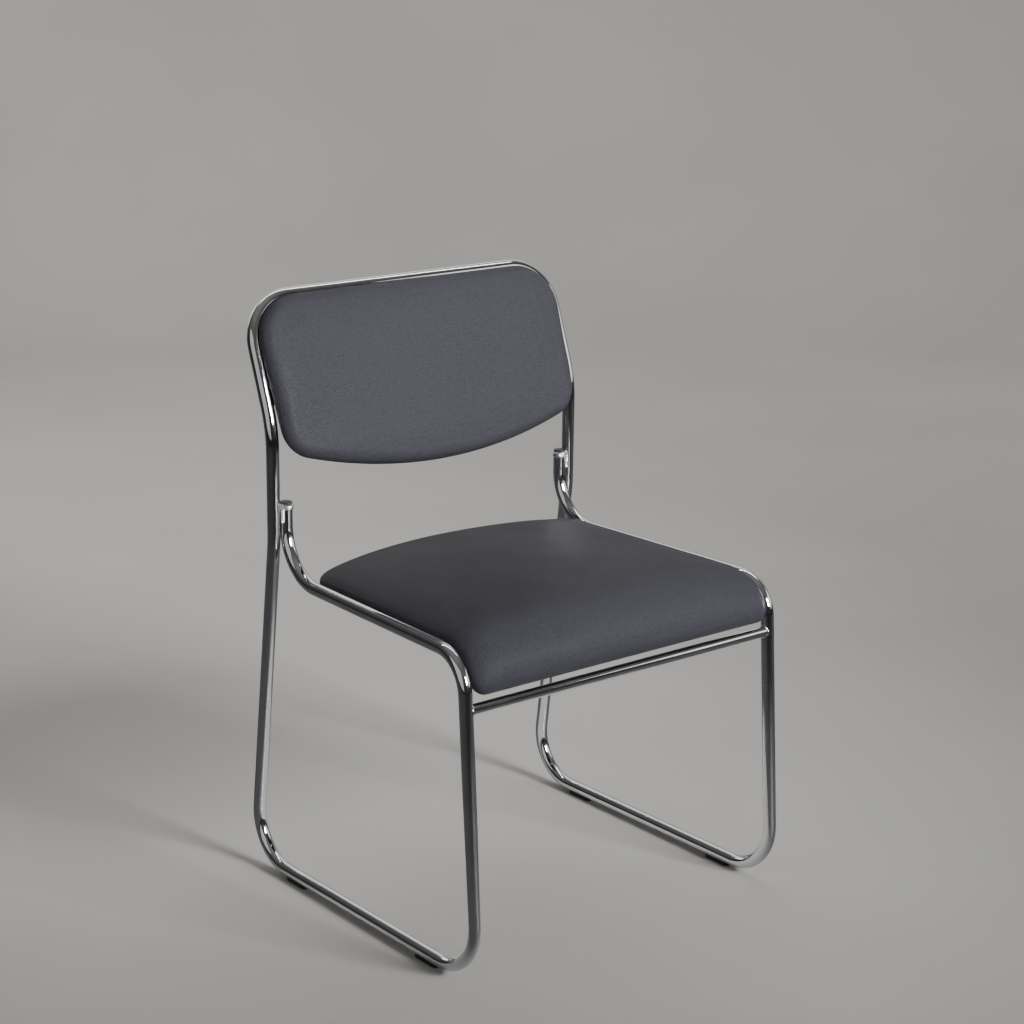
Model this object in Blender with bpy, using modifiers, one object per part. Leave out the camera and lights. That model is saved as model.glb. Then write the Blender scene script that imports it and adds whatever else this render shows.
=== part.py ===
"""Sled-base visitor chair: one bent chrome tube carries a waterfall seat pad and a back pad.

Units are metres. +X is the sitter's left, -Y is the front, +Z is up, and the floor is z = 0.
"""

import math

import bmesh
import bpy
import numpy as np
from mathutils import Matrix, Vector

# Clearance that touching pieces keep to each other
GAP = 0.0003

# Frame tube, and the corner points and bend radii of its centre line in the side view
TUBE_RADIUS = 0.0085
TUBE_WALL = 0.0015
HALF_WIDTH = 0.245
OVERALL_HEIGHT = 0.7825
UPPER_FRAME_RISE = 0.3665
RAIL_FRONT_Y = -0.2205
FOOT_FRONT_Y = -0.2434
FOOT_REAR_Y = 0.2494
UPRIGHT_Y = 0.1843
UPRIGHT_RISE = 0.049
RECLINE_Y = 0.181
TOP_Y = 0.2386
BACK_RISE = 0.1603
STUB_STRAIGHT = 0.030
STUB_FORWARD = 0.003
REAR_RAIL_BEND = 0.069
FRONT_RAIL_BEND = 0.050
FRONT_FOOT_BEND = 0.070
REAR_FOOT_BEND = 0.065
UPRIGHT_BEND = 0.150
RECLINE_BEND = 0.170
TOP_BEND = 0.064

# Cross tube under the front edge of the seat
CROSS_RADIUS = 0.007
CROSS_WALL = 0.0012
CROSS_CLEARANCE = 0.0065

# Fittings of the frame
PLUG_DOME = 0.0028
PLUG_STEM = 0.012
BEAD_RADIUS = 0.002
BEAD_END_MARGIN = 0.004
BEAD_SHARES = (0, 0.15, 0.5, 0.85, 1)
BEAD_SWELL = (0.5, 1, 1, 1, 0.5)
GLIDE_THICKNESS = 0.0025
GLIDE_LENGTH = 0.045
GLIDE_WIDTH = 0.012
GLIDE_END_MARGIN = 0.004

# Steel tabs that the pads are screwed to
TAB_THICKNESS = 0.003
TAB_WIDTH = 0.022
TAB_REACH = 0.046
TAB_HOLE_INSET = 0.014
TAB_CORNER = 0.008
SEAT_TAB_Y = -0.105
STRAP_Y = 0.075
STRAP_WIDTH = 0.026

# Screws and tee nuts
SCREW_RADIUS = 0.003
SCREW_HEAD_RADIUS = 0.006
SCREW_HEAD_HEIGHT = 0.0035
NUT_BARREL_RADIUS = 0.0045
NUT_BARREL_LENGTH = 0.005
NUT_FLANGE_RADIUS = 0.009
NUT_FLANGE_THICKNESS = 0.0012

# What both pads are made of
PAD_SIDE_GAP = 0.0012
COVER_THICKNESS = 0.0012
COVER_FOLD = 0.010
BOARD_EDGE_INSET = 0.003

# Seat pad: t runs from its rear edge along the rails and down round their front bend
SEAT_REAR_Y = 0.182
SEAT_FRONT_LIP = 0.002
SEAT_BOW_RADIUS = 0.500
SEAT_REAR_CORNER = 0.048
SEAT_FRONT_CORNER = 0.016
SEAT_SINK = 0.004
SEAT_BOARD_THICKNESS = 0.007
SEAT_EDGE_LOW = 0.0015
SEAT_EDGE_RISE = 0.0132
SEAT_EDGE_ROUND = 0.035
SEAT_CROWN = 0.0125
DUST_COVER_THICKNESS = 0.0008
DUST_COVER_INSET = 0.007

# Back pad: s runs up the reclined tubes from the recline bend, d forward of their centre line.
# Its cushion reaches over the tubes in front by the overlap.
BACK_BOTTOM = -0.0755
BACK_BOW_RADIUS = 0.700
BACK_LOW_NARROWING = 0.004
BACK_LOW_CORNER = 0.044
BACK_OVERLAP = 0.0074
BACK_BOARD_THICKNESS = 0.006
BACK_PANEL_THICKNESS = 0.004
BACK_PANEL_INSET = 0.004
BACK_PANEL_BEVEL = 0.0012
BACK_EDGE_LOW = 0.0090
BACK_EDGE_RISE = 0.0085
BACK_EDGE_ROUND = 0.018
BACK_CROWN = 0.006

# Facets and cutters
CUTTER_REACH = 0.05
TUBE_RESOLUTION = 4
TUBE_SIDES = 4 + 2 * TUBE_RESOLUTION
BEND_STEP = math.radians(12)
ROUND_SEGMENTS = 24
SMALL_SEGMENTS = 12
CORNER_SEGMENTS = 6
SHARP_ANGLE = 35
SOFT_SHARP_ANGLE = 60

# Worked out from the sizes above
SKID_Z = GLIDE_THICKNESS + TUBE_RADIUS
TOP_Z = OVERALL_HEIGHT - TUBE_RADIUS
RECLINE_Z = TOP_Z - BACK_RISE
RAIL_HEIGHT = OVERALL_HEIGHT - UPPER_FRAME_RISE
UPRIGHT_Z = RAIL_HEIGHT + UPRIGHT_RISE
STUB_TOP_Z = RAIL_HEIGHT + REAR_RAIL_BEND + STUB_STRAIGHT
UPRIGHT_LEAN = (RECLINE_Y - UPRIGHT_Y) / (RECLINE_Z - UPRIGHT_Z)
STUB_SPACING = 2 * TUBE_RADIUS + GAP
STUB_OFFSET = math.sqrt(STUB_SPACING ** 2 - STUB_FORWARD ** 2)
STUB_X = HALF_WIDTH - STUB_OFFSET
STUB_FOOT_Y = UPRIGHT_Y + UPRIGHT_LEAN * (RAIL_HEIGHT - UPRIGHT_Z) - STUB_FORWARD
STUB_TOP_Y = UPRIGHT_Y + UPRIGHT_LEAN * (STUB_TOP_Z - UPRIGHT_Z) - STUB_FORWARD
RECLINE = math.atan2(TOP_Y - RECLINE_Y, TOP_Z - RECLINE_Z)
BACK_LENGTH = math.hypot(TOP_Y - RECLINE_Y, TOP_Z - RECLINE_Z)
FOAM_INSET = COVER_THICKNESS + GAP
CROSS_HEIGHT = RAIL_HEIGHT - FRONT_RAIL_BEND - SEAT_FRONT_LIP - CROSS_CLEARANCE - CROSS_RADIUS

# Heights of the seat's layers above the rails' centre line
SEAT_BOARD_BOTTOM = -SEAT_SINK
SEAT_FOAM_FLOOR = SEAT_BOARD_BOTTOM + SEAT_BOARD_THICKNESS + GAP
SEAT_FOLD_TOP = SEAT_BOARD_BOTTOM - GAP
DUST_COVER_TOP = SEAT_FOLD_TOP - COVER_THICKNESS - GAP
SEAT_TAB_TOP = RAIL_HEIGHT + DUST_COVER_TOP - DUST_COVER_THICKNESS - GAP
SEAT_TAB_MIDDLE = SEAT_TAB_TOP - TAB_THICKNESS / 2

# Heights of the back's layers forward of the tubes' centre line
BACK_TAB_FRONT = -TUBE_RADIUS - GAP
BACK_TAB_MIDDLE = BACK_TAB_FRONT - TAB_THICKNESS / 2
BACK_PANEL_REAR = BACK_TAB_FRONT + GAP
BACK_FOLD_REAR = BACK_PANEL_REAR + BACK_PANEL_THICKNESS + GAP
BACK_FOLD_FRONT = BACK_FOLD_REAR + COVER_THICKNESS
BACK_BOARD_REAR = BACK_FOLD_FRONT + GAP
BACK_BOARD_FRONT = BACK_BOARD_REAR + BACK_BOARD_THICKNESS
BACK_FOAM_FLOOR = BACK_BOARD_FRONT + GAP

# How far inside the tubes' centre line the back cushion's edge lies
BACK_EDGE = TUBE_RADIUS + PAD_SIDE_GAP - BACK_OVERLAP

SIDES = (("left", 1), ("right", -1))


def new_collection(name):
    """A collection of the scene for one group of objects."""
    collection = bpy.data.collections.new(name)
    bpy.context.scene.collection.children.link(collection)
    return collection


def make_material(name, colour, roughness, metallic=0.0):
    """A Principled material with one colour."""
    material = bpy.data.materials.new(name)
    material.use_nodes = True
    shader = material.node_tree.nodes["Principled BSDF"]
    shader.inputs["Base Color"].default_value = (*colour, 1.0)
    shader.inputs["Roughness"].default_value = roughness
    shader.inputs["Metallic"].default_value = metallic
    material.diffuse_color = (*colour, 1.0)
    return material


def add_object(name, data, material, parent=None):
    """Put mesh or curve data into the chair's collection as a named part."""
    part = bpy.data.objects.new(name, data)
    if material:
        data.materials.append(material)
    chair.objects.link(part)
    part.parent = parent
    return part


def mesh_from_bmesh(name, bm, smooth_angle=SHARP_ANGLE):
    """Turn a bmesh into mesh data, smooth except at sharp edges."""
    mesh = bpy.data.meshes.new(name)
    bm.to_mesh(mesh)
    bm.free()
    mesh.shade_smooth()
    mesh.set_sharp_from_angle(angle=math.radians(smooth_angle))
    return mesh


def evaluated_mesh(source):
    """The mesh that an object and its modifiers give, with loose caps welded."""
    bpy.context.view_layer.update()
    graph = bpy.context.evaluated_depsgraph_get()
    mesh = bpy.data.meshes.new_from_object(source.evaluated_get(graph))
    bm = bmesh.new()
    bm.from_mesh(mesh)
    bmesh.ops.remove_doubles(bm, verts=bm.verts, dist=1e-6)
    bm.to_mesh(mesh)
    bm.free()
    return mesh


def made_solid(source):
    """Replace a curve or a modified object by a plain mesh object of the same name and place."""
    name = source.name
    mesh = evaluated_mesh(source)
    mesh.name = name
    solid = bpy.data.objects.new(name, mesh)
    chair.objects.link(solid)
    solid.parent = source.parent
    solid.matrix_world = source.matrix_world
    bpy.data.objects.remove(source)
    solid.name = name
    return solid


def cylinder_cutter(name, radius, start, end, segments=ROUND_SEGMENTS):
    """A cutter cylinder between two points, whose flats keep clear of the round radius."""
    length = (end - start).length
    bm = bmesh.new()
    outside = radius / math.cos(math.pi / segments)
    bmesh.ops.create_cone(bm, cap_ends=True, segments=segments,
                          radius1=outside, radius2=outside, depth=length)
    cutter = bpy.data.objects.new(name, mesh_from_bmesh(name, bm))
    cutters.objects.link(cutter)
    turn = (end - start).to_track_quat("Z", "Y")
    cutter.matrix_world = Matrix.Translation((start + end) / 2) @ turn.to_matrix().to_4x4()
    cutter.hide_render = True
    cutter.display_type = "WIRE"
    return cutter


def cut(part, cutter):
    """Cut a part with a cutter that stays live in the modifier stack."""
    boolean = part.modifiers.new(cutter.name, "BOOLEAN")
    boolean.operation = "DIFFERENCE"
    boolean.solver = "EXACT"
    boolean.object = cutter


def rounded_path(corners):
    """Straight runs joined by tangent arcs; each corner is a point and its bend radius."""
    points = [corners[0][0]]
    for (before, _), (corner, radius), (after, _) in zip(corners, corners[1:], corners[2:]):
        to_before = (before - corner).normalized()
        to_after = (after - corner).normalized()
        half = to_before.angle(to_after) / 2
        centre = corner + (to_before + to_after).normalized() * radius / math.sin(half)
        start = corner + to_before * radius / math.tan(half) - centre
        end = corner + to_after * radius / math.tan(half) - centre
        turn = math.pi - 2 * half
        steps = max(2, math.ceil(turn / BEND_STEP))
        axis = start.cross(end).normalized()
        for step in range(steps + 1):
            points.append(centre + Matrix.Rotation(turn * step / steps, 3, axis) @ start)
    points.append(corners[-1][0])
    return points


def tangent_length(before, corner, after, radius):
    """How far from a corner its bend starts."""
    half = (before - corner).angle(after - corner) / 2
    return radius / math.tan(half)


def side_corners(side):
    """Corner points and bend radii of one side of the frame, from the stub to the top corner."""
    return [
        (Vector((side * STUB_X, STUB_TOP_Y, STUB_TOP_Z)), 0),
        (Vector((side * STUB_X, STUB_FOOT_Y, RAIL_HEIGHT)), REAR_RAIL_BEND),
        (Vector((side * HALF_WIDTH, RAIL_FRONT_Y, RAIL_HEIGHT)), FRONT_RAIL_BEND),
        (Vector((side * HALF_WIDTH, FOOT_FRONT_Y, SKID_Z)), FRONT_FOOT_BEND),
        (Vector((side * HALF_WIDTH, FOOT_REAR_Y, SKID_Z)), REAR_FOOT_BEND),
        (Vector((side * HALF_WIDTH, UPRIGHT_Y, UPRIGHT_Z)), UPRIGHT_BEND),
        (Vector((side * HALF_WIDTH, RECLINE_Y, RECLINE_Z)), RECLINE_BEND),
        (Vector((side * HALF_WIDTH, TOP_Y, TOP_Z)), TOP_BEND),
    ]


def tube_curve(name, points, radius, material, caps, swell=None):
    """A round tube along points; swell gives each point's share of the radius."""
    curve = bpy.data.curves.new(name, "CURVE")
    curve.dimensions = "3D"
    curve.bevel_depth = radius
    curve.bevel_resolution = TUBE_RESOLUTION
    curve.use_fill_caps = caps
    spline = curve.splines.new("POLY")
    spline.points.add(len(points) - 1)
    for index, point in enumerate(points):
        spline.points[index].co = (*point, 1.0)
        spline.points[index].radius = swell[index] if swell else 1.0
    spline.use_smooth = True
    return add_object(name, curve, material)


def outline_plate(name, outline, thickness, material, parent, middle):
    """A flat plate of a closed outline, centred on a height of its parent's frame."""
    curve = bpy.data.curves.new(name, "CURVE")
    curve.dimensions = "2D"
    curve.fill_mode = "BOTH"
    curve.extrude = thickness / 2
    spline = curve.splines.new("POLY")
    spline.points.add(len(outline) - 1)
    for point, (x, y) in zip(spline.points, outline):
        point.co = (x, y, 0.0, 1.0)
    spline.use_cyclic_u = True
    plate = add_object(name, curve, material, parent)
    plate.location = (0, 0, middle)
    bpy.context.view_layer.update()
    return made_solid(plate)


def rounded_rectangle(low_x, high_x, low_y, high_y, corner):
    """Outline of a rectangle with four equal round corners, counter-clockwise."""
    points = []
    centres = ((high_x - corner, high_y - corner), (low_x + corner, high_y - corner),
               (low_x + corner, low_y + corner), (high_x - corner, low_y + corner))
    for quarter, (x, y) in enumerate(centres):
        for step in range(CORNER_SEGMENTS + 1):
            angle = math.pi / 2 * (quarter + step / CORNER_SEGMENTS)
            points.append((x + corner * math.cos(angle), y + corner * math.sin(angle)))
    return points


def turned(name, profile, material, closed=False):
    """A small turned piece: a profile of radius and height, down its outer side, spun about Z."""
    bm = bmesh.new()
    verts = [bm.verts.new((radius, 0, height)) for radius, height in profile]
    for upper, lower in zip(verts, verts[1:]):
        bm.edges.new((upper, lower))
    if closed:
        bm.edges.new((verts[-1], verts[0]))
    part = add_object(name, mesh_from_bmesh(name, bm), material)
    spin = part.modifiers.new("spin", "SCREW")
    spin.steps = SMALL_SEGMENTS
    spin.render_steps = SMALL_SEGMENTS
    spin.use_merge_vertices = True
    spin.merge_threshold = 0.00001
    return part


def frame_tube(material):
    """The whole frame: one tube bent from stub to stub, hollow and open at its two ends."""
    right = side_corners(-1)
    left = side_corners(1)
    tube = tube_curve("frame_tube", rounded_path(right + left[::-1]), TUBE_RADIUS, material, False)
    wall = tube.modifiers.new("wall", "SOLIDIFY")
    wall.thickness = TUBE_WALL
    wall.offset = -1
    return tube


def stub_plug(label, side, material):
    """Domed plug pressed into the open end of a stub."""
    stem = (TUBE_RADIUS - TUBE_WALL) * math.cos(math.pi / TUBE_SIDES) - GAP
    profile = [(0, PLUG_DOME)]
    for step in range(1, CORNER_SEGMENTS + 1):
        angle = math.pi / 2 * step / CORNER_SEGMENTS
        height = 2 * GAP + (PLUG_DOME - 2 * GAP) * math.cos(angle)
        profile.append((TUBE_RADIUS * math.sin(angle), height))
    profile += [(TUBE_RADIUS, GAP), (stem, GAP), (stem, -PLUG_STEM), (0, -PLUG_STEM)]
    plug = turned("stub_plug_" + label, profile, material)
    plug.location = (side * STUB_X, STUB_TOP_Y, STUB_TOP_Z)
    plug.rotation_euler.x = -math.atan(UPRIGHT_LEAN)
    return plug


def weld_beads(label, side, material):
    """Front and rear weld beads in the grooves between a stub and its upright."""
    corners = [corner for corner, _ in side_corners(side)]
    straight_from = RAIL_HEIGHT + tangent_length(*corners[:3], REAR_RAIL_BEND)
    low = straight_from + BEAD_END_MARGIN
    high = STUB_TOP_Z - BEAD_END_MARGIN
    reach = TUBE_RADIUS + BEAD_RADIUS + GAP
    out = math.sqrt(reach ** 2 - (STUB_SPACING / 2) ** 2)
    across = Vector((side * STUB_OFFSET, STUB_FORWARD, 0)) / 2
    forward = Vector((side * STUB_FORWARD, -STUB_OFFSET, 0)).normalized()
    for place, way in (("front", 1), ("rear", -1)):
        points = []
        for share in BEAD_SHARES:
            z = low + (high - low) * share
            y = UPRIGHT_Y + UPRIGHT_LEAN * (z - UPRIGHT_Z) - STUB_FORWARD
            points.append(Vector((side * STUB_X, y, z)) + across + forward * out * way)
        name = "weld_bead_%s_%s" % (place, label)
        tube_curve(name, points, BEAD_RADIUS, material, True, BEAD_SWELL)


def point_at(start, end, axis, value):
    """The point of a straight run where one coordinate has a given value."""
    share = (value - start[axis]) / (end[axis] - start[axis])
    return start.lerp(end, share)


def run_cutter(name, start, end, middle):
    """Cutter along a straight run of the frame tube, centred on a point of it."""
    way = (end - start).normalized() * CUTTER_REACH
    return cylinder_cutter(name, TUBE_RADIUS + GAP, middle - way, middle + way)


def front_cross_tube(material):
    """Thinner tube between the front legs, coped to fit round them and hollow."""
    bm = bmesh.new()
    bmesh.ops.create_cone(bm, cap_ends=True, segments=ROUND_SEGMENTS, radius1=CROSS_RADIUS,
                          radius2=CROSS_RADIUS, depth=2 * HALF_WIDTH,
                          matrix=Matrix.Rotation(math.pi / 2, 4, "Y"))
    tube = add_object("front_cross_tube", mesh_from_bmesh("front_cross_tube", bm), material)
    knee, foot = [corner for corner, _ in side_corners(1)][2:4]
    meeting = point_at(knee, foot, 2, CROSS_HEIGHT)
    tube.location = (0, meeting.y, CROSS_HEIGHT)
    beyond = Vector((HALF_WIDTH + TUBE_RADIUS, 0, 0))
    middle = Vector(tube.location)
    bore = cylinder_cutter("cross_bore", CROSS_RADIUS - CROSS_WALL, middle - beyond, middle + beyond)
    cut(tube, bore)
    for label, side in SIDES:
        mirror = Vector((side, 1, 1))
        cope = run_cutter("cross_cope_" + label, knee * mirror, foot * mirror, meeting * mirror)
        cut(tube, cope)
    return tube


def glide(name, side, middle_y, material):
    """Plastic glide under a skid: flat below, hollowed above to the tube."""
    half = GLIDE_LENGTH / 2
    x = side * HALF_WIDTH
    outline = rounded_rectangle(x - GLIDE_WIDTH / 2, x + GLIDE_WIDTH / 2,
                                middle_y - half, middle_y + half, GLIDE_WIDTH / 2 - GAP)
    height = GLIDE_THICKNESS + TUBE_RADIUS / 2
    pad = outline_plate(name, outline, height, material, None, height / 2)
    ahead = Vector((0, GLIDE_LENGTH, 0))
    middle = Vector((x, middle_y, SKID_Z))
    cut(pad, cylinder_cutter(name + "_hollow", TUBE_RADIUS + GAP, middle - ahead, middle + ahead))
    return pad


def glides(material):
    """Four glides, one beside each foot bend."""
    for label, side in SIDES:
        knee, front, rear, upright = [corner for corner, _ in side_corners(side)][2:6]
        inside = GLIDE_LENGTH / 2 + GLIDE_END_MARGIN
        front_y = front.y + tangent_length(knee, front, rear, FRONT_FOOT_BEND) + inside
        rear_y = rear.y - tangent_length(front, rear, upright, REAR_FOOT_BEND) - inside
        glide("glide_front_" + label, side, front_y, material)
        glide("glide_rear_" + label, side, rear_y, material)


def rail_x(y):
    """Half the distance between the rails' centre lines at a place along them."""
    share = (STUB_FOOT_Y - y) / (STUB_FOOT_Y - RAIL_FRONT_Y)
    return STUB_X + (HALF_WIDTH - STUB_X) * np.clip(share, 0, 1)


LEG_WAY = Vector((FOOT_FRONT_Y - RAIL_FRONT_Y, SKID_Z - RAIL_HEIGHT)).normalized()
SEAT_TURN = math.acos(-LEG_WAY.x)
SEAT_STRAIGHT = SEAT_REAR_Y - RAIL_FRONT_Y - FRONT_RAIL_BEND * math.tan(SEAT_TURN / 2)
SEAT_LENGTH = SEAT_STRAIGHT + FRONT_RAIL_BEND * SEAT_TURN + SEAT_FRONT_LIP


def seat_point(x, t, h):
    """World points of seat coordinates: x across, t along the rails and their bend, h above."""
    angle = np.clip((t - SEAT_STRAIGHT) / FRONT_RAIL_BEND, 0, SEAT_TURN)
    along = np.minimum(t, SEAT_STRAIGHT)
    beyond = np.maximum(t - SEAT_STRAIGHT - FRONT_RAIL_BEND * SEAT_TURN, 0)
    y = SEAT_REAR_Y - along - (FRONT_RAIL_BEND + h) * np.sin(angle) - beyond * math.cos(SEAT_TURN)
    z = RAIL_HEIGHT - FRONT_RAIL_BEND + (FRONT_RAIL_BEND + h) * np.cos(angle)
    return np.stack([x + 0 * t, y, z - beyond * math.sin(SEAT_TURN)], axis=-1)


def back_point(x, s, d):
    """Points of the back's own frame: x across, s up the tubes, d forward."""
    return np.stack([x, s + 0 * x, d + 0 * x], axis=-1)


def bowed_end(half, bow, corner):
    """Right half of a pad's bowed end: half-widths, and how far in they lie, to the corner's end."""
    corner_x = half - corner
    depth = bow - math.sqrt((bow - corner) ** 2 - corner_x ** 2)
    meeting = math.asin(corner_x / (bow - corner))
    sweep = np.linspace(0, 1, CORNER_SEGMENTS + 1)
    bow_angle = meeting * sweep
    corner_angle = meeting + (math.pi / 2 - meeting) * sweep[1:]
    x = np.concatenate([bow * np.sin(bow_angle), corner_x + corner * np.sin(corner_angle)])
    inward = np.concatenate([bow * (1 - np.cos(bow_angle)), depth - corner * np.cos(corner_angle)])
    return x, inward


def seat_rear_end(inset):
    """Right half of the seat pad's rear end, with its corner's end on the pad's straight side."""
    depth = SEAT_REAR_CORNER
    for _ in range(4):
        half = rail_x(SEAT_REAR_Y - inset - depth) - TUBE_RADIUS - PAD_SIDE_GAP - inset
        x, inward = bowed_end(half, SEAT_BOW_RADIUS - inset, SEAT_REAR_CORNER - inset)
        depth = inward[-1]
    return x, inset + inward


def seat_half_width(t, inset):
    """Half the seat pad's width: its bowed rear end, its sides beside the rails, its front corners."""
    axis_y = seat_point(np.zeros_like(t), t, np.zeros_like(t))[:, 1]
    side = rail_x(axis_y) - TUBE_RADIUS - PAD_SIDE_GAP - inset
    x, rear_t = seat_rear_end(inset)
    half = np.where(t < rear_t[-1], np.interp(t, rear_t, x), side)
    radius = SEAT_FRONT_CORNER - inset
    short = np.clip(1 - (SEAT_LENGTH - t - inset) / radius, 0, 1)
    return half - radius * (1 - np.sqrt(1 - short ** 2))


def back_outline(inset):
    """Right half of the back pad's outline: bowed bottom, low corner, side and top corner."""
    top_half = HALF_WIDTH - BACK_EDGE - inset
    low_half = top_half - BACK_LOW_NARROWING
    low_x, inward = bowed_end(low_half, BACK_BOW_RADIUS - inset, BACK_LOW_CORNER - inset)
    top = BACK_LENGTH - BACK_EDGE - inset
    top_corner = TOP_BEND - BACK_EDGE - inset
    top_angle = np.linspace(0, math.pi / 2, CORNER_SEGMENTS + 1)
    x = np.concatenate([low_x, top_half - top_corner + top_corner * np.cos(top_angle)])
    s = np.concatenate([BACK_BOTTOM + inset + inward, top - top_corner + top_corner * np.sin(top_angle)])
    return x, s


def closed_outline(inset):
    """The back pad's whole outline, mirrored from its right half, counter-clockwise."""
    x, s = back_outline(inset)
    right = list(zip(x, s))
    left = [(-px, ps) for px, ps in right[:0:-1]]
    return right + left


def back_half_width(s, inset):
    """Half the back pad's width at a height of its outline."""
    x, heights = back_outline(inset)
    return np.interp(s, heights, x)


ACROSS = np.array([0, 0.25, 0.5, 0.72, 0.88, 0.955, 0.985, 1.0])
ACROSS = np.concatenate([-ACROSS[:0:-1], ACROSS])
EDGE_STEPS = np.array([0, 0.0025, 0.007, 0.016])
SEAT_STRAIGHT_SECTIONS = 6
SEAT_BEND_SECTIONS = 7
BACK_SIDE_SECTIONS = 5


def seat_stations(inset):
    """Places along the seat for its sections; round the front bend all layers share them."""
    _, rear = seat_rear_end(inset)
    straight = np.linspace(rear[-1], SEAT_STRAIGHT, SEAT_STRAIGHT_SECTIONS)
    bend = np.linspace(SEAT_STRAIGHT, SEAT_LENGTH - EDGE_STEPS[-1], SEAT_BEND_SECTIONS)
    front = np.minimum(SEAT_LENGTH - EDGE_STEPS[::-1], SEAT_LENGTH - inset)
    return np.concatenate([rear, straight[1:], bend[1:-1], front])


def back_stations(inset):
    """Heights of the back pad's sections: its bow and low corner, even steps, then its top corner."""
    _, heights = back_outline(inset)
    low, high = np.split(heights, [2 * CORNER_SEGMENTS + 1])
    side = np.linspace(low[-1], high[0], BACK_SIDE_SECTIONS)
    return np.concatenate([low, side[1:-1], high])


SEAT_SHAPE = (seat_stations, seat_half_width, seat_point)
BACK_SHAPE = (back_stations, back_half_width, back_point)


def plan_grid(shape, inset):
    """Grid of plan coordinates of a pad drawn in by an inset: one row for each section."""
    stations, half_width, _ = shape
    along = stations(inset)
    half = half_width(along, inset)
    x = half[:, None] * ACROSS[None, :]
    return x, np.repeat(along[:, None], len(ACROSS), axis=1)


def edge_distance(x, along):
    """How far each grid point lies inside the grid's own border."""
    right = np.stack([x[:, -1], along[:, -1]], 1)
    left = np.stack([x[::-1, 0], along[::-1, 0]], 1)
    border = np.concatenate([right, left])
    border = np.concatenate([border, border[:1]])
    start = border[:-1]
    run = border[1:] - start
    square = np.maximum((run ** 2).sum(1), 1e-12)
    points = np.stack([x.ravel(), along.ravel()], 1)
    share = np.clip(((points[:, None] - start) * run).sum(2) / square, 0, 1)
    nearest = start + share[..., None] * run
    return np.linalg.norm(points[:, None] - nearest, axis=2).min(1).reshape(x.shape)


def crowned(x, along, low, rise, edge_round, crown):
    """Height of a pad's upper surface: a round edge that climbs into a crown in the middle."""
    near = np.clip(edge_distance(x, along) / edge_round, 0, 1)
    across = ACROSS[None, :]
    first = along.min()
    way = 2 * (along - first) / (along.max() - first) - 1
    dome = (1 - across ** 2) * (1 - way ** 4)
    return low + rise * np.sqrt(1 - (1 - near) ** 2) + crown * dome


def add_sheet(bm, points):
    """A sheet of quads over a grid of points, whose faces point up; returns its vertices."""
    rows = [[bm.verts.new(point) for point in row] for row in points]
    for first, second in zip(rows, rows[1:]):
        for a, b, c, d in zip(first, first[1:], second[1:], second):
            bm.faces.new((a, d, c, b))
    return rows


def border_of(rows):
    """Vertices round a sheet's border, in order."""
    right = [row[-1] for row in rows]
    left = [row[0] for row in rows]
    return rows[0] + right[1:] + rows[-1][-2::-1] + left[-2:0:-1]


def border_points(points):
    """Points round a grid's border, in the order that border_of gives."""
    return np.concatenate([points[0], points[1:, -1], points[-1, -2::-1], points[-2:0:-1, 0]])


def join_rings(bm, upper, lower):
    """A band of quads between two rings of vertices."""
    for index in range(len(upper)):
        follow = (index + 1) % len(upper)
        bm.faces.new((upper[index], upper[follow], lower[follow], lower[index]))


def tidy_mesh(bm):
    """Merge points that meet, drop faces without area and turn all faces outwards."""
    bmesh.ops.remove_doubles(bm, verts=bm.verts, dist=2e-5)
    bmesh.ops.dissolve_degenerate(bm, edges=bm.edges, dist=2e-5)
    bmesh.ops.recalc_face_normals(bm, faces=bm.faces)


def pad_foam(name, shape, floor, form, material, parent=None):
    """Foam of a pad: a crowned top whose round edge draws in again to a flat underside."""
    low, rise, edge_round, crown = form
    x, along = plan_grid(shape, FOAM_INSET)
    place = shape[2]
    bm = bmesh.new()
    top = add_sheet(bm, place(x, along, crowned(x, along, floor + low, rise, edge_round, crown)))
    inset = FOAM_INSET + low
    under_x, under_along = plan_grid(shape, inset)
    bottom = add_sheet(bm, place(under_x, under_along, np.full_like(under_x, floor)))
    join_rings(bm, border_of(top), border_of(bottom))
    tidy_mesh(bm)
    return add_object(name, mesh_from_bmesh(name, bm, SOFT_SHARP_ANGLE), material, parent)


def pad_cover(name, shape, floor, form, fold_height, material, parent=None):
    """Cover of a pad: over the foam, in along its sides to the board and folded in under it."""
    low, rise, edge_round, crown = form
    inset = FOAM_INSET - GAP
    x, along = plan_grid(shape, inset)
    place = shape[2]
    bm = bmesh.new()
    top = add_sheet(bm, place(x, along, crowned(x, along, floor + low, rise + GAP, edge_round, crown)))
    ring = border_of(top)
    for draw_in, height in ((low, floor), (low, fold_height), (low + COVER_FOLD, fold_height)):
        ring_x, ring_along = plan_grid(shape, inset + draw_in)
        points = place(ring_x, ring_along, np.full_like(ring_x, height))
        loop = [bm.verts.new(point) for point in border_points(points)]
        join_rings(bm, ring, loop)
        ring = loop
    tidy_mesh(bm)
    cover = add_object(name, mesh_from_bmesh(name, bm, SOFT_SHARP_ANGLE), material, parent)
    skin = cover.modifiers.new("skin", "SOLIDIFY")
    skin.thickness = COVER_THICKNESS
    skin.offset = 1
    skin.use_even_offset = True
    return cover


def seat_sheet(name, inset, height, thickness, material):
    """A sheet bent to the seat's profile, with its lower face at a height above the rails."""
    x, along = plan_grid(SEAT_SHAPE, inset)
    bm = bmesh.new()
    add_sheet(bm, seat_point(x, along, np.full_like(x, height)))
    bmesh.ops.recalc_face_normals(bm, faces=bm.faces)
    if sum(face.normal.z for face in bm.faces) < 0:
        bmesh.ops.reverse_faces(bm, faces=bm.faces)
    sheet = add_object(name, mesh_from_bmesh(name, bm), material)
    wall = sheet.modifiers.new("wall", "SOLIDIFY")
    wall.thickness = thickness
    wall.offset = 1
    wall.use_even_offset = True
    return sheet


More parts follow.
